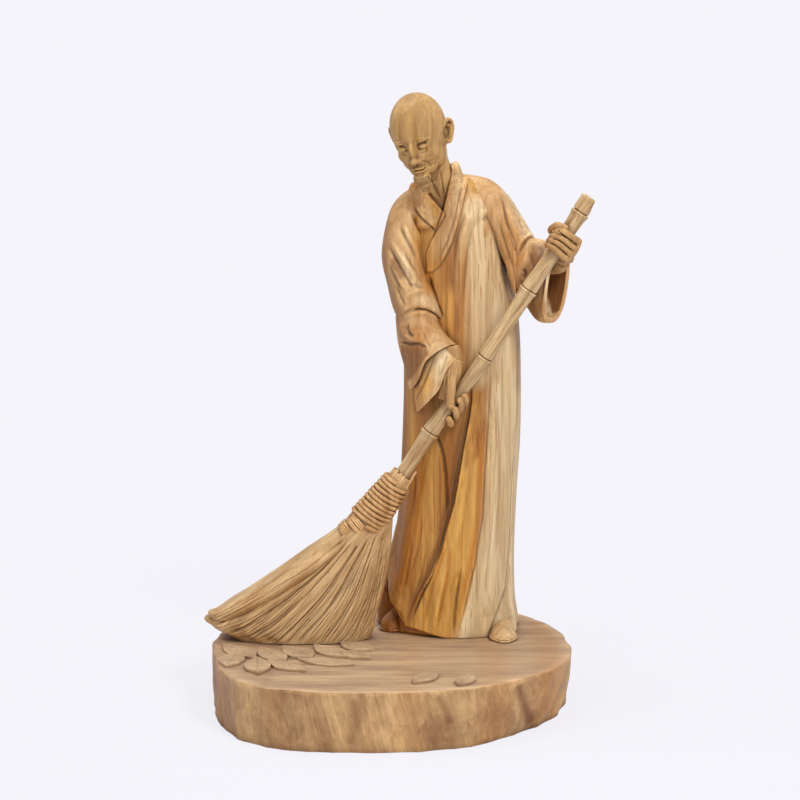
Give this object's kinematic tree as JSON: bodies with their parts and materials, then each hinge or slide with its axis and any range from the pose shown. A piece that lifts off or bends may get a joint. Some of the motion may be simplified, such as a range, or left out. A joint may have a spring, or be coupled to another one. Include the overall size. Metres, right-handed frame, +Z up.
{
  "type": "carved wooden figure",
  "caption": "Floor-standing carved wooden figure of a bald, bearded man in a wide-sleeved robe, sweeping with a bamboo-handled broom on a hewn log slice.",
  "frame": {"origin": "centre of the log slice's flat underside, on the floor", "axes": "+Z up; -Y is the front, the side the figure faces; +X is the figure's left-hand side, the viewer's right"},
  "size_m": [0.6401, 0.5892, 1.0015],
  "materials": {
    "slice_wood": "hewn and saw-marked, oiled",
    "robe_wood": "knife-cut facets, oiled",
    "sleeve_wood": "knife-cut facets, oiled",
    "flesh_wood": "fine-cut, oiled",
    "shoe_wood": "knife-cut, oiled",
    "broom_wood": "gouge-cut strands, oiled",
    "handle_wood": "smooth-scraped, oiled",
    "cord_wood": "gouge-cut cord, oiled",
    "dowel_wood": "plain turned"
  },
  "bodies": {
    "root": {"log_slice": "slice_wood", "robe_body": "robe_wood", "head": "flesh_wood", "right_sleeve": "sleeve_wood", "left_sleeve": "sleeve_wood", "right_hand": "flesh_wood", "left_hand": "flesh_wood", "right_shoe": "shoe_wood", "left_shoe": "shoe_wood", "broom_handle": "handle_wood", "broom_head": "broom_wood", "broom_binding": "cord_wood", "robe_dowels": "dowel_wood", "right_shoulder_dowels": "dowel_wood", "left_shoulder_dowels": "dowel_wood", "right_wrist_dowel": "dowel_wood", "left_wrist_dowel": "dowel_wood", "broom_dowels": "dowel_wood"}
  },
  "joints": []
}
